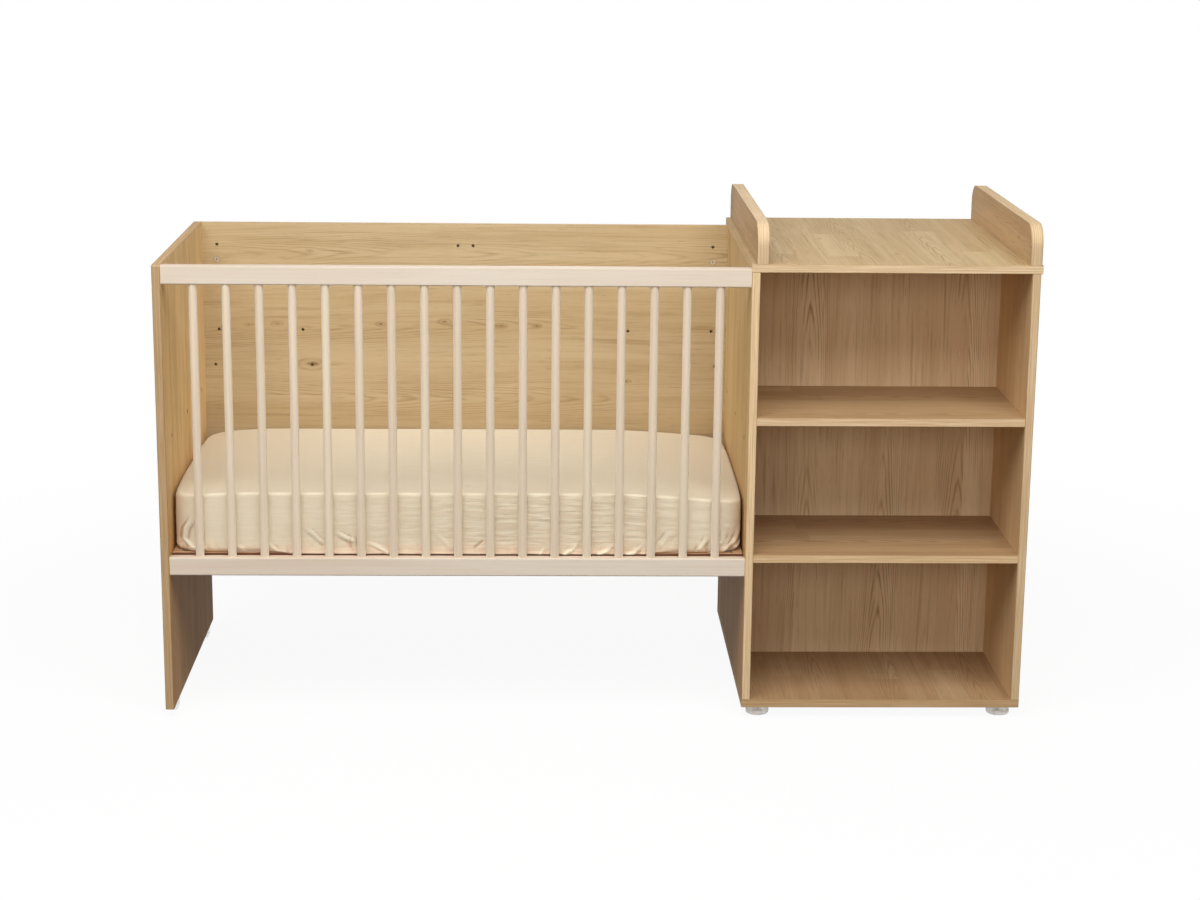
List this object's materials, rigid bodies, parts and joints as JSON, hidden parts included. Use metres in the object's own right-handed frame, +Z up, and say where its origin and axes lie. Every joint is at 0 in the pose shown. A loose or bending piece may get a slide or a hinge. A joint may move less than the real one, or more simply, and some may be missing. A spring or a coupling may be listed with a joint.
{
  "type": "crib with attached changer",
  "caption": "Baby crib with a barred front, crowned mattress under a fitted sheet on a slatted base, joined to an open-shelved changing unit with side guards on its top.",
  "frame": {"origin": "on the floor under the middle of the whole piece, midway along its length and between its front and its back", "axes": "+X to the right as seen from the front, crib to changer; +Y from the barred front to the back; +Z up"},
  "size_m": [1.85, 0.704, 1.078],
  "materials": {
    "oak_board": "satin",
    "pale_wood": "satin",
    "slat_wood": "matte",
    "mattress_cover": "matte",
    "sheet_fabric": "matte",
    "grey_plastic": "matte",
    "white_plastic": "matte",
    "zinc_steel": "satin"
  },
  "bodies": {
    "frame": {"left_end_panel": "oak_board", "shared_side_panel": "oak_board", "crib_back_panel": "oak_board", "top_rail": "pale_wood", "bottom_rail": "pale_wood", "bar_01": "pale_wood", "bar_02": "pale_wood", "bar_03": "pale_wood", "bar_04": "pale_wood", "bar_05": "pale_wood", "bar_06": "pale_wood", "bar_07": "pale_wood", "bar_08": "pale_wood", "bar_09": "pale_wood", "bar_10": "pale_wood", "bar_11": "pale_wood", "bar_12": "pale_wood", "bar_13": "pale_wood", "bar_14": "pale_wood", "bar_15": "pale_wood", "bar_16": "pale_wood", "bar_17": "pale_wood", "base_support_pins": "zinc_steel", "right_side_panel": "oak_board", "unit_bottom": "oak_board", "changer_top": "oak_board", "lower_shelf": "oak_board", "upper_shelf": "oak_board", "inner_back": "oak_board", "left_guard": "oak_board", "right_guard": "oak_board", "foot_front_left": "grey_plastic", "foot_front_right": "grey_plastic", "foot_rear_left": "grey_plastic", "foot_rear_right": "grey_plastic", "end_panel_glides": "white_plastic", "cam_locks": "zinc_steel", "cam_bolts": "zinc_steel", "dowels": "slat_wood", "rail_bolts": "zinc_steel", "barrel_nuts": "zinc_steel", "long_screws": "zinc_steel", "foot_screws": "zinc_steel"},
    "slatted_base": {"base_front_rail": "slat_wood", "base_rear_rail": "slat_wood", "base_left_rail": "slat_wood", "base_right_rail": "slat_wood", "slat_01": "slat_wood", "slat_02": "slat_wood", "slat_03": "slat_wood", "slat_04": "slat_wood", "slat_05": "slat_wood", "slat_06": "slat_wood", "slat_07": "slat_wood", "slat_08": "slat_wood", "slat_09": "slat_wood", "slat_10": "slat_wood", "base_dowels": "slat_wood"},
    "mattress": {"mattress": "mattress_cover", "fitted_sheet": "sheet_fabric"}
  },
  "joints": [
    {"name": "base_height", "type": "slide", "parent": "frame", "child": "slatted_base", "axis": [0, 0, 1], "range_m": [0, 0.28]},
    {"name": "mattress_lift_out", "type": "slide", "parent": "slatted_base", "child": "mattress", "axis": [0, 0, 1], "range_m": [0, 0.64]}
  ]
}
